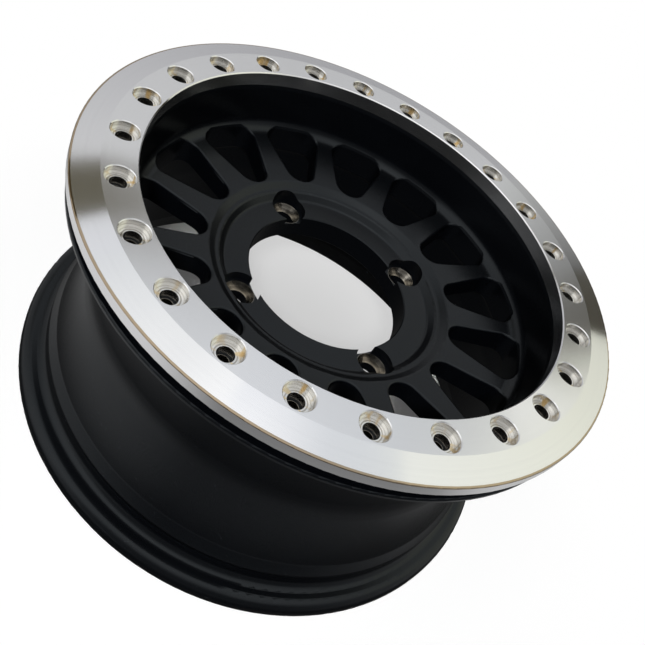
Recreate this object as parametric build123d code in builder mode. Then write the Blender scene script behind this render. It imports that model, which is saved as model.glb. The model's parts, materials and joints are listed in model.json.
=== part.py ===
from build123d import *
from math import cos, pi, radians, sin, tan
import os

# Beadlock wheel: a one-piece wheel, and the bolt-on ring that clamps the tyre's outer bead
# Sizes are millimetres and degrees
# The origin is the centre of the hub's mounting face, and +Z points outboard,
# so the wheel stands on its inboard flange with the ring on top

# Rim: 3 inches outboard and 4 inches inboard of the mounting face, on a 15 inch bead seat
outboard_width = 76.2
inboard_width = 101.6
bead_seat_radius = 190.1

# Ring bolts: counterbored in the ring, tapped in the land under it
bolt_count = 24
bolt_phase = 0.4
bolt_hole_radius = 5.6
bolt_head_radius = 10.0
bolt_head_depth = 5.6
bolt_mouth_chamfer = 0.6
tapped_hole_radius = 4.25
tapped_hole_depth = 16.0

# Clamp ring, turned from plate: flat over the bolts, bevelled outside them
ring_thickness = 12.0
ring_overhang = 18.0
ring_flat_margin = 1.85
ring_bevel_drop = 3.7
ring_bore_chamfer = 0.8
ring_edge_round = 0.7

# Land that the ring lies on, and the clamp flange under it
land_margin = 2.45
land_corner_round = 0.8
lip_height = 3.1
lip_chamfer = 0.7
clamp_gap = 9.8
clamp_root_round = 3.0
clamp_flange_height = 15.9
clamp_flange_thickness = 3.3
clamp_flange_top_round = 1.2
clamp_flange_back_round = 0.6

# Barrel outside, from under the clamp flange to the hump beside the inboard bead seat
shoulder_depth = 6.1
shoulder_round = 10.0
drop_depth = 17.1
drop_below_hub = 17.5
drop_round = 60.0
rise_depth = 4.3
rise_height = 9.0
rise_round = 5.0
hump_height = 0.7
hump_width = 4.5
hump_round = 3.0
seat_width = 11.1
seat_taper = 5.0

# Inboard flange
flange_heel_round = 6.5
flange_face_height = 3.0
flange_top_round = 8.0
flange_edge_height = 3.2
flange_foot_round = 3.0
flange_foot_width = 17.6

# Barrel inside
barrel_wall = 6.5
barrel_draft = 5.0
barrel_mouth_round = 8.0
seat_wall = 7.5

# Disc, and the dish in front of it
disc_thickness = 16.2
disc_front_rise = 5.6
disc_back_height = 13.0
disc_back_rise = 2.2
disc_back_round = 8.0
dish_draft = 2.0
dish_round = 11.0

# Hub: a flat pad around the bore, a steep step, a ledge and a gentle rise to the disc, and the boss behind
bore_radius = 66.0
bore_edge_chamfer = 0.8
hub_pad_sink = 8.9
hub_pad_margin = 8.3
hub_step_width = 4.9
hub_step_height = 5.3
hub_step_round = 3.0
hub_ledge_width = 3.1
hub_ledge_rise = 0.25
hub_rise_width = 5.9
hub_rise_round = 4.0
hub_boss_margin = 20.5
hub_boss_root_round = 6.0
hub_boss_edge_round = 1.0

# Lug nuts: pockets in the hub's front, with cone seats, on a 156 mm circle
lug_count = 4
lug_phase = 14.2
lug_inset = 12.0
lug_hole_radius = 8.0
lug_seat_radius = 11.7
lug_seat_angle = 60.0
lug_pocket_radius = 14.6
lug_floor_thickness = 13.9

# Windows between the spokes
window_count = 15
window_root_gap = 4.5
window_ledge = 2.9
window_inner_round = 12.5
window_outer_round = 10.0
window_rim_round = 2.0
window_mouth_flare = 19.0
window_mouth_lift = 0.8
spoke_width = 10.7

# Tyre valve: a plain hole over one spoke
valve_hole_radius = 5.75
valve_spoke = 2

# Heights of the outboard end
land_height = outboard_width
ring_top = land_height + ring_thickness
lip_foot = land_height - lip_height
clamp_top = land_height - clamp_gap
clamp_bottom = clamp_top - clamp_flange_thickness

# Heights of the inboard end
bead_face = -inboard_width
base = bead_face - flange_top_round - flange_edge_height - flange_foot_round
seat_end = bead_face + seat_width
hump_top = seat_end + hump_width
rise_foot = hump_top + rise_height

# Radii of the ring and the land, which hold the bolt heads with a margin each side
land_width = 2 * (bolt_head_radius + land_margin)
ring_inner_radius = bead_seat_radius - land_width
ring_outer_radius = bead_seat_radius + ring_overhang
bolt_circle_radius = bead_seat_radius - land_width / 2
ring_flat_radius = bolt_circle_radius + bolt_head_radius + ring_flat_margin
dish_top_radius = ring_inner_radius - lip_chamfer

# Radii of the rim
clamp_flange_radius = bead_seat_radius + clamp_flange_height
shoulder_radius = bead_seat_radius - shoulder_depth
drop_radius = bead_seat_radius - drop_depth
rise_radius = bead_seat_radius - rise_depth
hump_radius = bead_seat_radius + hump_height
seat_end_radius = bead_seat_radius - seat_width * tan(radians(seat_taper))
flange_radius = bead_seat_radius + flange_heel_round + flange_face_height + flange_top_round
foot_inner_radius = flange_radius - flange_foot_width
seat_inner_radius = bead_seat_radius - seat_wall
barrel_inner_radius = drop_radius - barrel_wall

# Hub and disc
lug_circle_radius = bore_radius + lug_inset
hub_pad_radius = lug_circle_radius + hub_pad_margin
hub_step_radius = hub_pad_radius + hub_step_width
hub_ledge_radius = hub_step_radius + hub_ledge_width
hub_rise_radius = hub_ledge_radius + hub_rise_width
hub_boss_radius = lug_circle_radius + hub_boss_margin
disc_front_height = disc_back_height + disc_thickness
hub_pad_height = disc_front_height - hub_pad_sink
hub_step_top = hub_pad_height + hub_step_height
hub_ledge_height = hub_step_top + hub_ledge_rise

# The disc's front meets the drafted dish wall, and its back the drafted inside of the barrel
dish_foot = disc_front_height + disc_front_rise
dish_foot_radius = dish_top_radius - (lip_foot - dish_foot) * tan(radians(dish_draft))
disc_back_edge = disc_back_height + disc_back_rise
disc_back_radius = barrel_inner_radius - (drop_below_hub + disc_back_edge) * tan(radians(barrel_draft))

# Windows run from the hub's boss to just inside the dish wall, where their mouths flare out
window_phase = lug_phase
window_inner_radius = hub_boss_radius + window_root_gap
window_outer_radius = dish_foot_radius - window_ledge
window_half_width = window_outer_radius * sin(pi / window_count) - spoke_width / 2
window_mouth_height = dish_foot + window_mouth_lift
window_mouth_depth = window_ledge / tan(radians(window_mouth_flare))

# The sections are turned from the middle of a spoke, and from between two ring bolts
wheel_seam = radians(window_phase + 180 / window_count)
ring_seam = radians(bolt_phase + 180 / bolt_count)
wheel_plane = Plane((0, 0, 0), x_dir=(cos(wheel_seam), sin(wheel_seam), 0), z_dir=(sin(wheel_seam), -cos(wheel_seam), 0))
ring_plane = Plane((0, 0, 0), x_dir=(cos(ring_seam), sin(ring_seam), 0), z_dir=(sin(ring_seam), -cos(ring_seam), 0))

# The valve hole runs square to the axis, halfway up the dish wall
valve_azimuth = radians(window_phase - (valve_spoke + 0.5) * 360 / window_count)
valve_out = Vector(cos(valve_azimuth), sin(valve_azimuth), 0)
valve_height = (clamp_bottom + dish_foot) / 2
valve_plane = Plane(valve_out * clamp_flange_radius + (0, 0, valve_height), z_dir=valve_out)
valve_reach = clamp_flange_radius - window_outer_radius

# Wheel section, as corners of radius, height and corner round, from the bore outwards
hub_front = [
    (bore_radius, 0, 0),
    (bore_radius, hub_pad_height, 0),
    (hub_pad_radius, hub_pad_height, hub_step_round),
    (hub_step_radius, hub_step_top, hub_step_round),
    (hub_ledge_radius, hub_ledge_height, hub_rise_round),
    (hub_rise_radius, disc_front_height, hub_rise_round),
]
dish = [
    (dish_foot_radius, dish_foot, dish_round),
    (dish_top_radius, lip_foot, 0),
    (ring_inner_radius, land_height, 0),
]
clamp_end = [
    (bead_seat_radius, land_height, land_corner_round),
    (bead_seat_radius, clamp_top, clamp_root_round),
    (clamp_flange_radius, clamp_top, clamp_flange_top_round),
    (clamp_flange_radius, clamp_bottom, clamp_flange_back_round),
    (shoulder_radius, clamp_bottom, shoulder_round),
]
barrel_outside = [
    (drop_radius, -drop_below_hub, drop_round),
    (rise_radius, rise_foot, rise_round),
    (hump_radius, hump_top, hump_round),
    (seat_end_radius, seat_end, hump_round),
]
inboard_flange = [
    (bead_seat_radius, bead_face, flange_heel_round),
    (flange_radius, bead_face, flange_top_round),
    (flange_radius, base, flange_foot_round),
    (foot_inner_radius, base, flange_foot_round),
]
inside = [
    (seat_inner_radius, bead_face + seat_wall, barrel_mouth_round),
    (barrel_inner_radius, -drop_below_hub, drop_round),
    (disc_back_radius, disc_back_edge, disc_back_round),
    (hub_boss_radius, disc_back_height, hub_boss_root_round),
    (hub_boss_radius, 0, hub_boss_edge_round),
]
wheel_section = hub_front + dish + clamp_end + barrel_outside + inboard_flange + inside

# One window's cutters: the straight core, and the mouth that flares into the dish wall
with BuildPart() as window_core:
    with BuildSketch() as window:
        with BuildLine():
            Line((window_outer_radius, -window_half_width), (window_outer_radius, window_half_width))
        with Locations((window_inner_radius + window_inner_round, 0)):
            Circle(window_inner_round)
        make_hull()
        Circle(window_outer_radius, mode=Mode.INTERSECT)
        fillet(window.vertices().group_by(Axis.X)[-1], window_outer_round)
    extrude(amount=land_height)

with BuildPart() as window_mouth:
    with BuildSketch(Plane.XY.offset(window_mouth_height)):
        add(window.sketch)
    extrude(amount=window_mouth_depth, taper=-window_mouth_flare)

with BuildPart() as wheel_body:
    # Turned form of the whole wheel
    with BuildSketch(wheel_plane):
        with BuildLine():
            FilletPolyline(
                [(r, z) for r, z, _ in wheel_section],
                radius=[corner for _, _, corner in wheel_section],
                close=True,
            )
        make_face()
    revolve(axis=Axis.Z)
    full_circles = wheel_body.edges().filter_by(lambda edge: edge.is_closed)
    chamfer(full_circles.sort_by(SortBy.RADIUS)[:2], bore_edge_chamfer)

    # Windows through the disc, with rounded front rims
    with PolarLocations(0, window_count, window_phase):
        add(window_core.part, mode=Mode.SUBTRACT)
    rims = wheel_body.edges(Select.LAST).filter_by(Axis.Z, reverse=True)
    front_rims = rims.filter_by_position(Axis.Z, disc_back_edge + window_rim_round, land_height)
    fillet(front_rims, window_rim_round)
    with PolarLocations(0, window_count, window_phase):
        add(window_mouth.part, mode=Mode.SUBTRACT)

    # Lug pockets that break into the bore, with cone seats in their floors
    with Locations(Plane.XY.offset(lip_foot)):
        with PolarLocations(lug_circle_radius, lug_count, lug_phase):
            Hole(lug_pocket_radius, depth=lip_foot - lug_floor_thickness)
    with Locations(Plane.XY.offset(lug_floor_thickness)):
        with PolarLocations(lug_circle_radius, lug_count, lug_phase):
            CounterSinkHole(lug_hole_radius, lug_seat_radius, 2 * lug_floor_thickness, lug_seat_angle)

    # Tapped holes in the land
    with Locations(Plane.XY.offset(land_height)):
        with PolarLocations(bolt_circle_radius, bolt_count, bolt_phase):
            Hole(tapped_hole_radius, depth=tapped_hole_depth)

    # Valve hole through the dish wall
    with Locations(valve_plane):
        Hole(valve_hole_radius, depth=valve_reach)
wheel_body.part.label = "wheel_body"

with BuildPart() as beadlock_ring:
    # Turned plate with a bevelled face
    with BuildSketch(ring_plane):
        with BuildLine():
            FilletPolyline(
                (ring_inner_radius, land_height),
                (ring_outer_radius, land_height),
                (ring_outer_radius, ring_top - ring_bevel_drop),
                (ring_flat_radius, ring_top),
                (ring_inner_radius, ring_top),
                radius=[0, ring_edge_round, ring_edge_round, 0, 0],
                close=True,
            )
        make_face()
    revolve(axis=Axis.Z)
    face_circles = beadlock_ring.edges().filter_by(GeomType.CIRCLE).group_by(Axis.Z)[-1]
    chamfer(face_circles.sort_by(SortBy.RADIUS)[0], ring_bore_chamfer)

    # Counterbored bolt holes with chamfered mouths
    with Locations(Plane.XY.offset(ring_top)):
        with PolarLocations(bolt_circle_radius, bolt_count, bolt_phase):
            CounterBoreHole(bolt_hole_radius, bolt_head_radius, bolt_head_depth)
    mouths = beadlock_ring.edges(Select.LAST).filter_by(GeomType.CIRCLE).group_by(Axis.Z)[-1]
    chamfer(mouths, bolt_mouth_chamfer)
beadlock_ring.part.label = "beadlock_ring"

os.makedirs("parts", exist_ok=True)
export_step(wheel_body.part, "parts/wheel_body.step")
export_step(beadlock_ring.part, "parts/beadlock_ring.step")
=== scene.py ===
import json
from math import cos, radians, sin, tan

import bpy
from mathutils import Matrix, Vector


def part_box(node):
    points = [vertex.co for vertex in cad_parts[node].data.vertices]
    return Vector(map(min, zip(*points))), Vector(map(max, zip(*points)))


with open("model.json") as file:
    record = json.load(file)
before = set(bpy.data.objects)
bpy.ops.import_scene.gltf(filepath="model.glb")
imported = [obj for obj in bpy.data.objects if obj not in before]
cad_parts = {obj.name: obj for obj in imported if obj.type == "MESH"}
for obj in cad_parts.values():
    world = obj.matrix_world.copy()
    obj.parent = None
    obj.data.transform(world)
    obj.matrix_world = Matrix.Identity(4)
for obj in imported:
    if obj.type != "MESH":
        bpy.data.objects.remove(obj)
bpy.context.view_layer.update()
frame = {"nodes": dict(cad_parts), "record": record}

# Sizes in metres, and angles in degrees, all in the wheel's own frame
wheel_low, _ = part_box("wheel_body")
_, ring_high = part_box("beadlock_ring")
mount_dims = {mount["name"]: mount["dims"] for mount in frame["record"]["mounts"]}
floor_height = wheel_low.z
ring_face_height = ring_high.z

# Ring bolts: the circle that the mount states, the counterbores, and the tapped holes in the land
bolt_count = mount_dims["ring_bolts"]["count"]
bolt_circle_radius = mount_dims["ring_bolts"]["pcd_mm"] / 2000
bolt_phase = 0.4
bolt_mouth_radius = 0.0107
bolt_wall_radius = 0.01005
bolt_hole_radius = 0.0057
thread_radius = 0.0045
thread_low = 0.0604

# The ring's rounded outer corner
corner_radius = ring_high.x - 0.004
corner_low = ring_face_height - 0.0043
corner_high = ring_face_height - 0.0034

# Lug holes: the circle that the mount states, and the bare seats
lug_count = mount_dims["lug_bolts"]["count"]
lug_circle_radius = mount_dims["lug_bolts"]["pcd_mm"] / 2000
lug_phase = 14.2
seat_low_radius = 0.0080
seat_low_height = 0.0075
seat_top_height = 0.0140
seat_slope = tan(radians(30))
seat_side_margin = 0.0002
seat_foot_margin = 0.0001

# Bright ring: darkest and lightest tints, and roughness
ring_tints = ((0.85, 0.85, 0.86, 1.0), (0.90, 0.90, 0.905, 1.0))
# Counterbore walls: the cutter's rings, darkened overall as painted shade in the recess
counterbore_ring_and_painted_shade_tints = ((0.50, 0.475, 0.43, 1.0), (0.88, 0.87, 0.84, 1.0))
# Painted reflection on the rounded outer corner: a dark brown line that turns gold towards the top
corner_painted_reflection_tints = ((0.28, 0.21, 0.14, 1.0), (0.46, 0.37, 0.26, 1.0))
# Painted reflection: gold streaks of a warm light on the counterbore walls
painted_warm_reflection_tint = (0.78, 0.64, 0.42, 1.0)
# Painted shade: the through-holes' walls are darker than the rest of the ring
bolt_hole_painted_shade_tint = (0.50, 0.49, 0.47, 1.0)
ring_roughness = (0.12, 0.18)
counterbore_roughness = 0.19
bolt_hole_roughness = 0.15
corner_roughness = 0.07

# Bright ring: scales of its marks, the noise levels at which they show, and bump strengths and heights
fine_line_scale = 4200.0
broad_line_scale = 420.0
cutter_ring_scale = 800.0
cutter_ring_edge = (0.36, 0.52)
streak_round_scale = (1.6, 1.6, 1.6)
streak_place_scale = (45.0, 45.0, 0.0)
streak_edge = (0.55, 0.72)
fine_line_bump = (0.05, 0.00005)
cutter_ring_bump = (0.3, 0.00005)

# Black coat and the bare metal in its holes: tints, roughness, gloss, and scales of the marks
coat_tints = ((0.0008, 0.0010, 0.0016, 1.0), (0.0013, 0.0016, 0.0023, 1.0))
coat_roughness = (0.26, 0.30)
coat_gloss = 0.33
coat_gloss_tint = (0.87, 0.95, 1.0, 1.0)
cloud_scale = 18.0
grain_scale = 2600.0
grain_roughness = (-0.03, 0.03)
grain_bump = (0.12, 0.00006)
bare_tints = ((0.24, 0.22, 0.19, 1.0), (0.62, 0.58, 0.51, 1.0))
bare_roughness = 0.22
bare_ring_scale = 700.0
bare_ring_edge = (0.35, 0.65)

# Camera, solved from the photograph's ellipses
camera_place = (0.36567, -0.26939, 0.40205)
camera_turn = (44.53, -24.248, 76.615)
camera_lens = 42.63
camera_shift = (-0.0005, -0.0610)
camera_near_end = 0.01

# Floor: its size, where it fades out, and its finish
floor_sides = 96
floor_radius = 0.95
floor_fade_start = 0.45
floor_tint = (0.93, 0.93, 0.93, 1.0)
floor_roughness = 0.6
floor_gloss = 0.2

# Floor as the camera sees it: shares of plain white in its own shade, and levels of that white,
# outside the rim, inside it, and where light falls through the bore. Inside the rim that white is painted
# light, with a painted pool of light under the bore
rim_edge = (0.19, 0.21)
floor_whiteness = 0.86
floor_clear_zone = (0.22, 0.36)
floor_inside_whiteness = 0.08
# Painted pool of light on the floor, where light falls through the bore
bore_light_place = (-0.120, 0.090, 0.0)
bore_light_edge = (0.095, 0.125)
bore_light_whiteness = 0.85
# Painted light inside the rim, brighter away from the middle
inside_level = (0.60, 0.72)
inside_level_zone = (0.08, 0.20)

# Floor as reflections see it: a glowing sheet of paper with painted light from the left and painted shade
# under the rim, with its levels and the radii where they change
paper_lit_side = (cos(radians(-95)), sin(radians(-95)), 0.0)
paper_left_edge = (0.55, 0.95)
paper_right_edge = (0.15, 0.80)
paper_front = 0.29
paper_left = 0.66
paper_right = 0.55
paper_under_rim = 0.04
paper_beyond = 0.02
paper_left_loss = 0.6
paper_front_end = (0.34, 0.43)
paper_left_end = (0.45, 0.70)
# Painted shade of the wheel on the floor, under the rim
rim_shade = (0.225, 0.30)
rim_shade_left = (0.215, 0.275)

# Light: a level for the world, and one soft lamp
world_level = 0.2
key_place = (0.89, -0.66, 1.03)
key_size = 0.15
key_power = 27


def new_material(name):
    """A material with its Principled shader, ready for more nodes."""
    material = bpy.data.materials.new(name)
    material.use_nodes = True
    tree = material.node_tree
    return material, tree, tree.nodes["Principled BSDF"]


def add_node(tree, kind, **settings):
    """Adds a node and sets its properties."""
    node = tree.nodes.new(kind)
    for name, value in settings.items():
        setattr(node, name, value)
    return node


def feed(tree, value, socket):
    """Links an output to a socket, or sets the socket to a plain value."""
    if isinstance(value, bpy.types.NodeSocket):
        tree.links.new(value, socket)
    else:
        socket.default_value = value


def math(tree, operation, *values, clamp=False):
    """A Math node on the given outputs and numbers."""
    node = add_node(tree, "ShaderNodeMath", operation=operation, use_clamp=clamp)
    for value, socket in zip(values, node.inputs):
        feed(tree, value, socket)
    return node.outputs[0]


def vector_math(tree, operation, *values):
    """A Vector Math node on the given outputs and vectors."""
    node = add_node(tree, "ShaderNodeVectorMath", operation=operation)
    for value, socket in zip(values, node.inputs):
        feed(tree, value, socket)
    return node.outputs["Value" if operation in ("LENGTH", "DOT_PRODUCT") else "Vector"]


def split(tree, place):
    """The three parts of a place."""
    node = add_node(tree, "ShaderNodeSeparateXYZ")
    tree.links.new(place, node.inputs[0])
    return node.outputs["X"], node.outputs["Y"], node.outputs["Z"]


def join(tree, x=0.0, y=0.0, z=0.0):
    """A place from its three parts."""
    node = add_node(tree, "ShaderNodeCombineXYZ")
    for value, socket in zip((x, y, z), node.inputs):
        feed(tree, value, socket)
    return node.outputs[0]


def flattened(tree, place):
    """A place with its height taken out."""
    return vector_math(tree, "MULTIPLY", place, (1.0, 1.0, 0.0))


def step(tree, value, low, high):
    """0 below low, 1 above high, and smooth between them."""
    node = add_node(tree, "ShaderNodeMapRange", interpolation_type="SMOOTHSTEP")
    feed(tree, value, node.inputs["Value"])
    node.inputs["From Min"].default_value = low
    node.inputs["From Max"].default_value = high
    return node.outputs["Result"]


def span(tree, value, low, high):
    """Spreads a value that runs from 0 to 1 over low to high."""
    node = add_node(tree, "ShaderNodeMapRange")
    feed(tree, value, node.inputs["Value"])
    node.inputs["To Min"].default_value = low
    node.inputs["To Max"].default_value = high
    return node.outputs["Result"]


def between(tree, value, low, high):
    """1 between low and high, and 0 elsewhere."""
    above = math(tree, "GREATER_THAN", value, low)
    return math(tree, "MULTIPLY", above, math(tree, "LESS_THAN", value, high))


def mix_value(tree, factor, first, second):
    """Blends two numbers, given as outputs or plain values."""
    node = add_node(tree, "ShaderNodeMix", data_type="FLOAT")
    feed(tree, factor, node.inputs["Factor"])
    feed(tree, first, node.inputs[2])
    feed(tree, second, node.inputs[3])
    return node.outputs[0]


def mix_vector(tree, factor, first, second):
    """Blends two vectors, given as outputs or plain values."""
    node = add_node(tree, "ShaderNodeMix", data_type="VECTOR")
    feed(tree, factor, node.inputs["Factor"])
    feed(tree, first, node.inputs[4])
    feed(tree, second, node.inputs[5])
    return node.outputs[1]


def mix_colour(tree, factor, first, second):
    """Blends two colours, given as outputs or plain values."""
    node = add_node(tree, "ShaderNodeMix", data_type="RGBA")
    feed(tree, factor, node.inputs["Factor"])
    feed(tree, first, node.inputs[6])
    feed(tree, second, node.inputs[7])
    return node.outputs[2]


def mix_shader(tree, factor, first, second):
    """Blends two shaders."""
    node = add_node(tree, "ShaderNodeMixShader")
    for output, socket in zip((factor, first, second), node.inputs):
        tree.links.new(output, socket)
    return node.outputs[0]


def noise(tree, vector, scale, detail):
    """A noise value from 0 to 1 at the given places."""
    node = add_node(tree, "ShaderNodeTexNoise")
    feed(tree, vector, node.inputs["Vector"])
    node.inputs["Scale"].default_value = scale
    node.inputs["Detail"].default_value = detail
    return node.outputs["Fac"]


def bump(tree, height, strength, distance):
    """A Bump node on the given height."""
    node = add_node(tree, "ShaderNodeBump")
    node.inputs["Strength"].default_value = strength
    node.inputs["Distance"].default_value = distance
    tree.links.new(height, node.inputs["Height"])
    return node


def nearest_hole(tree, place, count, circle_radius, phase):
    """The way to a point, seen along Z, from the nearest of the holes on a circle about Z."""
    x, y, _ = split(tree, place)
    azimuth = math(tree, "ARCTAN2", y, x)
    pitch = math(tree, "DIVIDE", radians(360), count)
    turns = math(tree, "DIVIDE", math(tree, "SUBTRACT", azimuth, phase), pitch)
    hole = math(tree, "MULTIPLY_ADD", math(tree, "ROUND", turns), pitch, phase)
    hole_x = math(tree, "MULTIPLY", math(tree, "COSINE", hole), circle_radius)
    hole_y = math(tree, "MULTIPLY", math(tree, "SINE", hole), circle_radius)
    return vector_math(tree, "SUBTRACT", flattened(tree, place), join(tree, hole_x, hole_y))


def hole_circle_group():
    """How far a point lies from the axis of the nearest hole on a circle about Z."""
    group = bpy.data.node_groups.new("hole_circle", "ShaderNodeTree")
    group.interface.new_socket(name="Place", in_out="INPUT", socket_type="NodeSocketVector")
    for name in ("Count", "Circle Radius", "Phase"):
        group.interface.new_socket(name=name, in_out="INPUT", socket_type="NodeSocketFloat")
    group.interface.new_socket(name="Distance", in_out="OUTPUT", socket_type="NodeSocketFloat")
    given = add_node(group, "NodeGroupInput").outputs
    offset = nearest_hole(group, given["Place"], given["Count"], given["Circle Radius"], given["Phase"])
    result = add_node(group, "NodeGroupOutput")
    group.links.new(vector_math(group, "LENGTH", offset), result.inputs["Distance"])
    return group


def hole_distance(tree, group, place, count, circle_radius, phase):
    """Places the hole circle group with its own values."""
    node = add_node(tree, "ShaderNodeGroup", node_tree=group)
    feed(tree, place, node.inputs["Place"])
    node.inputs["Count"].default_value = count
    node.inputs["Circle Radius"].default_value = circle_radius
    node.inputs["Phase"].default_value = radians(phase)
    return node.outputs["Distance"]


def turned_aluminium(holes):
    """Bright plate turned on a lathe, with its lines around the axis, and around each counterbore."""
    material, tree, shader = new_material("turned_aluminium")
    place = add_node(tree, "ShaderNodeTexCoord").outputs["Object"]
    _, _, height = split(tree, place)
    flat = flattened(tree, place)
    radius = vector_math(tree, "LENGTH", flat)
    from_bolt = hole_distance(tree, holes, place, bolt_count, bolt_circle_radius, bolt_phase)
    bolt_offset = nearest_hole(tree, place, bolt_count, bolt_circle_radius, radians(bolt_phase))
    in_mouth = math(tree, "LESS_THAN", from_bolt, bolt_mouth_radius)
    in_wall = math(tree, "LESS_THAN", from_bolt, bolt_wall_radius)
    in_bolt_hole = math(tree, "LESS_THAN", from_bolt, bolt_hole_radius)
    # Turning lines: noise that changes with the radius, and with the depth in the bores and walls
    tool_place = join(tree, x=mix_value(tree, in_mouth, radius, from_bolt), z=height)
    fine_lines = noise(tree, tool_place, fine_line_scale, 3.0)
    broad_lines = noise(tree, tool_place, broad_line_scale, 2.0)
    tint = mix_colour(tree, broad_lines, *ring_tints)
    # Counterbores: rings that the cutter left on the wall, darkened as painted shade in the recess, and a few
    # gold streaks that are painted reflections of a warm light
    cutter_rings = step(tree, noise(tree, tool_place, cutter_ring_scale, 1.0), *cutter_ring_edge)
    wall_tint = mix_colour(tree, cutter_rings, *counterbore_ring_and_painted_shade_tints)
    way_round = vector_math(tree, "MULTIPLY", vector_math(tree, "NORMALIZE", bolt_offset), streak_round_scale)
    own_place = vector_math(tree, "MULTIPLY", place, streak_place_scale)
    painted_reflection_streaks = noise(tree, vector_math(tree, "ADD", way_round, own_place), 1.0, 0.0)
    wall_tint = mix_colour(tree, step(tree, painted_reflection_streaks, *streak_edge), wall_tint, painted_warm_reflection_tint)
    # Painted shade darkens the through-hole's wall
    wall_tint = mix_colour(tree, in_bolt_hole, wall_tint, bolt_hole_painted_shade_tint)
    tint = mix_colour(tree, in_wall, tint, wall_tint)
    # The outer corner, rounded by hand, is finer, and carries a painted reflection: a dark brown line that
    # turns gold towards the top
    outer = math(tree, "GREATER_THAN", radius, corner_radius)
    corner = math(tree, "MULTIPLY", outer, between(tree, height, corner_low, corner_high))
    corner_painted_reflection = mix_colour(tree, step(tree, height, corner_low, corner_high), *corner_painted_reflection_tints)
    tint = mix_colour(tree, corner, tint, corner_painted_reflection)
    tree.links.new(tint, shader.inputs["Base Color"])
    wall_roughness = mix_value(tree, in_bolt_hole, counterbore_roughness, bolt_hole_roughness)
    roughness = mix_value(tree, in_wall, span(tree, fine_lines, *ring_roughness), wall_roughness)
    roughness = mix_value(tree, corner, roughness, corner_roughness)
    tree.links.new(roughness, shader.inputs["Roughness"])
    shader.inputs["Metallic"].default_value = 1.0
    # The lines run around the wheel's axis, or around the bolt's inside a counterbore
    shader.inputs["Anisotropic"].default_value = 1.0
    shader.inputs["Anisotropic Rotation"].default_value = 0.25
    at_bolt = math(tree, "LESS_THAN", vector_math(tree, "LENGTH", bolt_offset), bolt_mouth_radius)
    outwards = mix_vector(tree, at_bolt, flat, bolt_offset)
    around = vector_math(tree, "CROSS_PRODUCT", (0.0, 0.0, 1.0), outwards)
    tree.links.new(vector_math(tree, "NORMALIZE", around), shader.inputs["Tangent"])
    lines = bump(tree, fine_lines, *fine_line_bump)
    rings = bump(tree, math(tree, "MULTIPLY", cutter_rings, in_wall), *cutter_ring_bump)
    tree.links.new(lines.outputs["Normal"], rings.inputs["Normal"])
    tree.links.new(rings.outputs["Normal"], shader.inputs["Normal"])
    return material


def satin_black_coat(holes):
    """Satin black coat with a fine grain, left off the lug seats and the tapped holes, which are bare."""
    material, tree, shader = new_material("satin_black_coat")
    place = add_node(tree, "ShaderNodeTexCoord").outputs["Object"]
    _, _, height = split(tree, place)
    from_lug = hole_distance(tree, holes, place, lug_count, lug_circle_radius, lug_phase)
    from_bolt = hole_distance(tree, holes, place, bolt_count, bolt_circle_radius, bolt_phase)
    # Bare metal: the cones of the lug seats and the threads in the land, with the cutter's rings
    cone_start = seat_low_radius - seat_low_height * seat_slope
    cone_radius = math(tree, "MULTIPLY_ADD", height, seat_slope, cone_start)
    on_cone = math(tree, "LESS_THAN", from_lug, math(tree, "ADD", cone_radius, seat_side_margin))
    at_seat = between(tree, height, seat_low_height - seat_foot_margin, seat_top_height)
    seat = math(tree, "MULTIPLY", on_cone, at_seat)
    in_land = math(tree, "GREATER_THAN", height, thread_low)
    thread = math(tree, "MULTIPLY", in_land, math(tree, "LESS_THAN", from_bolt, thread_radius))
    bare = math(tree, "MAXIMUM", seat, thread)
    tool_place = join(tree, x=math(tree, "MINIMUM", from_lug, from_bolt), z=height)
    bare_rings = step(tree, noise(tree, tool_place, bare_ring_scale, 2.0), *bare_ring_edge)
    metal = mix_colour(tree, bare_rings, *bare_tints)
    # The coat itself
    clouds = noise(tree, place, cloud_scale, 3.0)
    grain = noise(tree, place, grain_scale, 2.0)
    coat = mix_colour(tree, clouds, *coat_tints)
    tree.links.new(mix_colour(tree, bare, coat, metal), shader.inputs["Base Color"])
    satin = math(tree, "ADD", span(tree, clouds, *coat_roughness), span(tree, grain, *grain_roughness))
    tree.links.new(mix_value(tree, bare, satin, bare_roughness), shader.inputs["Roughness"])
    tree.links.new(bare, shader.inputs["Metallic"])
    shader.inputs["Specular IOR Level"].default_value = coat_gloss
    shader.inputs["Specular Tint"].default_value = coat_gloss_tint
    tree.links.new(bump(tree, grain, *grain_bump).outputs["Normal"], shader.inputs["Normal"])
    return material


def dress(node_name, material):
    """Gives a CAD node its finish."""
    node = frame["nodes"][node_name]
    node.data.materials.clear()
    node.data.materials.append(material)


def floor_for_camera(tree, flat, radius):
    """The share of plain white in what the camera sees of the floor, and the level of that white, which
    inside the rim is painted light.
    """
    outside = step(tree, radius, *rim_edge)
    from_light = vector_math(tree, "LENGTH", vector_math(tree, "SUBTRACT", flat, bore_light_place))
    unlit = step(tree, from_light, *bore_light_edge)
    inside_white = mix_value(tree, unlit, bore_light_whiteness, floor_inside_whiteness)
    white = mix_value(tree, outside, inside_white, floor_whiteness)
    white = mix_value(tree, step(tree, radius, *floor_clear_zone), white, 1.0)
    inside_painted_light = mix_value(tree, step(tree, radius, *inside_level_zone), *inside_level)
    return white, mix_value(tree, outside, inside_painted_light, 1.0)


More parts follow.
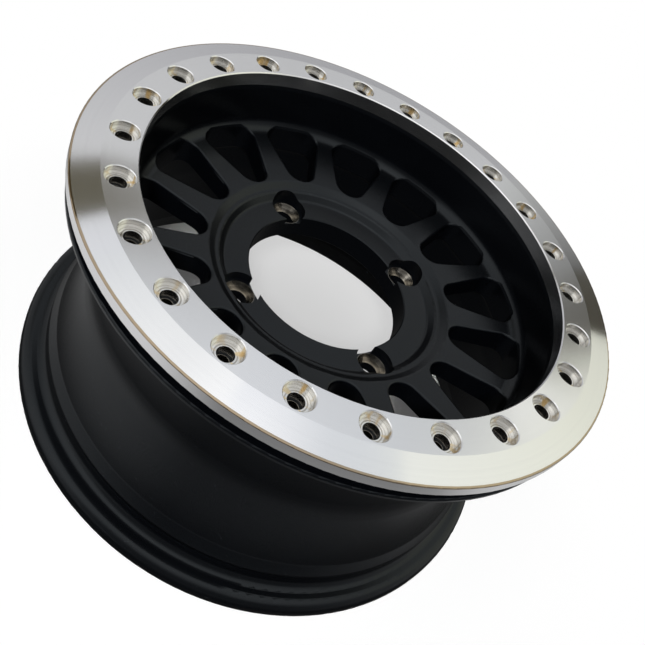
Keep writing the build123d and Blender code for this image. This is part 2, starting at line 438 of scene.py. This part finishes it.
def floor_for_reflections(tree, flat, radius):
    """The glowing level of the paper: painted light from the left, painted shade under the rim, and ending
    before the wheel.
    """
    facing = vector_math(tree, "DOT_PRODUCT", vector_math(tree, "NORMALIZE", flat), paper_lit_side)
    turned_away = math(tree, "MULTIPLY", facing, -1.0)
    front_share = math(tree, "SUBTRACT", 1.0, step(tree, radius, *paper_front_end))
    front = math(tree, "MULTIPLY_ADD", front_share, paper_front - paper_beyond, paper_beyond)
    right = math(tree, "MULTIPLY", step(tree, turned_away, *paper_right_edge), paper_right)
    front = math(tree, "MAXIMUM", front, right)
    front = mix_value(tree, step(tree, radius, *rim_shade), paper_under_rim, front)
    left_loss = math(tree, "MULTIPLY", step(tree, radius, *paper_left_end), paper_left_loss)
    left = math(tree, "MULTIPLY", math(tree, "SUBTRACT", 1.0, left_loss), paper_left)
    left = mix_value(tree, step(tree, radius, *rim_shade_left), paper_under_rim, left)
    return mix_value(tree, step(tree, facing, *paper_left_edge), front, left)


def white_floor():
    """A pale floor that fades into the white backdrop."""
    bpy.ops.object.select_all(action="DESELECT")
    bpy.ops.mesh.primitive_circle_add(
        vertices=floor_sides, radius=floor_radius, fill_type="NGON", location=(0, 0, floor_height)
    )
    floor = bpy.context.object
    floor.name = "floor"
    bpy.ops.object.transform_apply(location=True)
    material, tree, shader = new_material("white_floor")
    shader.inputs["Base Color"].default_value = floor_tint
    shader.inputs["Roughness"].default_value = floor_roughness
    shader.inputs["Specular IOR Level"].default_value = floor_gloss
    # The camera sees mostly plain white, with a part of the real shade near the wheel, and a painted pool of
    # light inside the rim
    flat = flattened(tree, add_node(tree, "ShaderNodeTexCoord").outputs["Object"])
    radius = vector_math(tree, "LENGTH", flat)
    path = add_node(tree, "ShaderNodeLightPath").outputs
    camera_white, camera_glow = floor_for_camera(tree, flat, radius)
    seen = math(tree, "MULTIPLY", path["Is Camera Ray"], camera_white)
    # Reflections see the paper alone, with its painted light and shade
    mirrored = math(tree, "MAXIMUM", path["Is Glossy Ray"], path["Is Transmission Ray"])
    paper = floor_for_reflections(tree, flat, radius)
    glow = add_node(tree, "ShaderNodeEmission")
    tree.links.new(mix_value(tree, mirrored, camera_glow, paper), glow.inputs["Strength"])
    glow_share = math(tree, "ADD", seen, mirrored, clamp=True)
    pale = mix_shader(tree, glow_share, shader.outputs[0], glow.outputs[0])
    # The camera sees no end of it
    clear = add_node(tree, "ShaderNodeBsdfTransparent")
    fade = math(tree, "MULTIPLY", step(tree, radius, floor_fade_start, floor_radius), path["Is Camera Ray"])
    surface = mix_shader(tree, fade, pale, clear.outputs[0])
    tree.links.new(surface, tree.nodes["Material Output"].inputs["Surface"])
    floor.data.materials.append(material)


def grey(level):
    """A neutral tint."""
    return (level, level, level)


# Studio walls and ceiling, as reflections see them: name, distance, the azimuths and elevations of the
# corners, along the foot and then along the top, and the tints there
wall_distance = 40.0
window_distance = 39.0
screen_distance = 38.0
lamp_distance = 37.0
foot = -16
beam_tint = (0.11, 0.10, 0.07)
ceiling_edge_tint = (0.76, 0.78, 0.80)
ceiling_pale_tint = (0.98, 0.99, 0.99)
ceiling_tint = (0.74, 0.76, 0.80)
studio_panels = [
    ("back_low", wall_distance,
     ((128, foot), (206, foot), (128, 20), (206, 20)),
     ((0.22, 0.22, 0.23), (0.23, 0.23, 0.27), (0.50, 0.50, 0.51), (0.52, 0.52, 0.54))),
    ("back_middle", wall_distance,
     ((128, 20), (206, 20), (128, 39), (206, 39)),
     ((0.50, 0.50, 0.51), (0.52, 0.52, 0.54), (0.60, 0.61, 0.61), (0.68, 0.68, 0.69))),
    ("back_top", wall_distance,
     ((118, 39), (206, 39), (118, 54), (206, 54)),
     ((0.57, 0.58, 0.58), (0.71, 0.71, 0.73), (0.64, 0.68, 0.74), (0.80, 0.81, 0.84))),
    ("beam", screen_distance,
     ((148, 40.0), (198, 38.3), (148, 43.2), (198, 48.8)),
     (beam_tint, beam_tint, beam_tint, beam_tint)),
    ("beam_end", screen_distance,
     ((197, 38.3), (211, 34.0), (197, 48.7), (211, 46.5)),
     (beam_tint, beam_tint, beam_tint, beam_tint)),
    ("post", screen_distance,
     ((98.6, foot), (114, foot), (122.6, 36), (128.4, 36)),
     ((0.03, 0.026, 0.016), (0.05, 0.045, 0.03), (0.06, 0.054, 0.038), (0.08, 0.074, 0.058))),
    ("corner", screen_distance,
     ((114, foot), (130, foot), (128.4, 36), (138, 36)),
     (grey(0.08), grey(0.32), (0.15, 0.15, 0.14), (0.58, 0.59, 0.58))),
    ("window_low", wall_distance,
     ((60, foot), (104, foot), (60, 33), (124, 33)),
     ((0.50, 0.50, 0.45), (0.50, 0.50, 0.45), (0.85, 0.86, 0.74), (0.85, 0.86, 0.74))),
    ("window_high", window_distance,
     ((60, 33), (122, 33), (60, 61), (116, 61)),
     ((0.88, 0.89, 0.76), (0.86, 0.87, 0.76), (1.0, 1.0, 0.90), (0.90, 0.92, 0.88))),
    ("left_low", wall_distance,
     ((206, foot), (292, foot), (206, 26), (292, 26)),
     (grey(0.45), grey(0.30), grey(0.55), grey(0.70))),
    ("left_window", screen_distance,
     ((232, foot), (272, foot), (232, 26), (280, 26)),
     (grey(0.62), grey(0.62), grey(0.75), grey(1.25))),
    ("left_high", wall_distance,
     ((206, 26), (296, 26), (206, 62), (296, 62)),
     (grey(0.55), grey(0.90), grey(0.95), grey(1.20))),
    ("left_lamp", screen_distance,
     ((236, 26), (292, 30), (236, 58), (292, 56)),
     (grey(0.95), grey(1.15), grey(1.08), grey(1.15))),
    ("front_low", wall_distance,
     ((290, foot), (426, foot), (290, 34), (426, 34)),
     (grey(0.18), grey(0.20), grey(0.20), grey(0.24))),
    ("front_dark", screen_distance,
     ((318, foot), (378, foot), (318, 34), (378, 34)),
     (grey(0.13), grey(0.13), grey(0.16), grey(0.16))),
    ("front_right", screen_distance,
     ((378, foot), (428, foot), (378, 34), (428, 34)),
     (grey(0.13), grey(0.50), grey(0.16), grey(0.60))),
    ("front_rise", wall_distance,
     ((290, 34), (428, 34), (290, 60), (428, 60)),
     (grey(0.20), grey(0.40), grey(1.08), grey(1.0))),
    ("front_high", wall_distance,
     ((290, 60), (428, 60), (290, 76), (428, 76)),
     (grey(1.08), grey(1.0), grey(1.15), grey(1.05))),
    ("ceiling_left", wall_distance,
     ((150, 54), (260, 54), (150, 69), (260, 69)),
     (ceiling_edge_tint, ceiling_edge_tint, ceiling_pale_tint, ceiling_pale_tint)),
    ("ceiling_top", wall_distance,
     ((150, 69), (260, 69), (150, 89), (260, 89)),
     (ceiling_pale_tint, ceiling_pale_tint, ceiling_tint, ceiling_tint)),
    ("ceiling_right", wall_distance,
     ((60, 58), (150, 58), (60, 89), (150, 89)),
     ((0.67, 0.70, 0.67), (0.76, 0.79, 0.86), ceiling_tint, ceiling_tint)),
    ("ceiling_lamp", lamp_distance,
     ((0, 75), (360, 75), (0, 90), (360, 90)),
     (grey(1.05), grey(1.05), grey(1.7), grey(1.7))),
]
panel_steps = 24


def blend(shares, rows):
    """Adds up rows of numbers, each in its own share."""
    return [sum(share * number for share, number in zip(shares, column)) for column in zip(*rows)]


def studio_panel(name, distance, corners, tints):
    """A panel on the studio's dome that only reflections see."""
    places = []
    shades = []
    for row in range(panel_steps + 1):
        for column in range(panel_steps + 1):
            across, up = column / panel_steps, row / panel_steps
            shares = ((1 - across) * (1 - up), across * (1 - up), (1 - across) * up, across * up)
            turn, lift = [radians(angle) for angle in blend(shares, corners)]
            way = (cos(turn) * cos(lift), sin(turn) * cos(lift), sin(lift))
            places.append([distance * part for part in way])
            shades.append(blend(shares, tints) + [1.0])
    width = panel_steps + 1
    starts = [row * width + column for row in range(panel_steps) for column in range(panel_steps)]
    mesh = bpy.data.meshes.new(name)
    mesh.from_pydata(places, [], [(i, i + 1, i + width + 1, i + width) for i in starts])
    tint = mesh.color_attributes.new("tint", "FLOAT_COLOR", "POINT")
    for number, shade in enumerate(shades):
        tint.data[number].color = shade
    panel = bpy.data.objects.new(name, mesh)
    bpy.context.scene.collection.objects.link(panel)
    material, tree, shader = new_material(name)
    shader.inputs["Base Color"].default_value = (0, 0, 0, 1)
    shader.inputs["Specular IOR Level"].default_value = 0
    painted = add_node(tree, "ShaderNodeAttribute", attribute_name="tint")
    tree.links.new(painted.outputs["Color"], shader.inputs["Emission Color"])
    shader.inputs["Emission Strength"].default_value = 1
    mesh.materials.append(material)
    panel.visible_camera = False
    panel.visible_diffuse = False
    panel.visible_shadow = False


def soft_lamp(name, place, aim, size, power):
    """A square soft lamp that points at a place."""
    data = bpy.data.lights.new(name, "AREA")
    data.size = size
    data.energy = power
    lamp = bpy.data.objects.new(name, data)
    lamp.location = place
    lamp.rotation_euler = (Vector(aim) - Vector(place)).to_track_quat("-Z", "Y").to_euler()
    bpy.context.scene.collection.objects.link(lamp)
    lamp.visible_camera = False
    lamp.visible_glossy = False


def white_world(level):
    """White for the camera and for reflections, and a plain level for the rest."""
    world = bpy.data.worlds.new("studio")
    world.use_nodes = True
    bpy.context.scene.world = world
    tree = world.node_tree
    path = add_node(tree, "ShaderNodeLightPath").outputs
    seen = math(tree, "ADD", path["Is Camera Ray"], path["Is Glossy Ray"], clamp=True)
    seen = math(tree, "ADD", seen, path["Is Transmission Ray"], clamp=True)
    background = tree.nodes["Background"]
    background.inputs["Color"].default_value = (1, 1, 1, 1)
    tree.links.new(span(tree, seen, level, 1.0), background.inputs["Strength"])


def photo_camera():
    """The photograph's view."""
    data = bpy.data.cameras.new("camera")
    data.lens = camera_lens
    data.shift_x, data.shift_y = camera_shift
    data.clip_start = camera_near_end
    camera = bpy.data.objects.new("camera", data)
    camera.location = camera_place
    camera.rotation_euler = [radians(angle) for angle in camera_turn]
    bpy.context.scene.collection.objects.link(camera)
    bpy.context.scene.camera = camera


holes = hole_circle_group()
dress("beadlock_ring", turned_aluminium(holes))
dress("wheel_body", satin_black_coat(holes))

white_floor()
for panel in studio_panels:
    studio_panel(*panel)
white_world(world_level)
soft_lamp("key", key_place, (0, 0, 0), key_size, key_power)
photo_camera()

bpy.context.scene.view_settings.view_transform = "Standard"
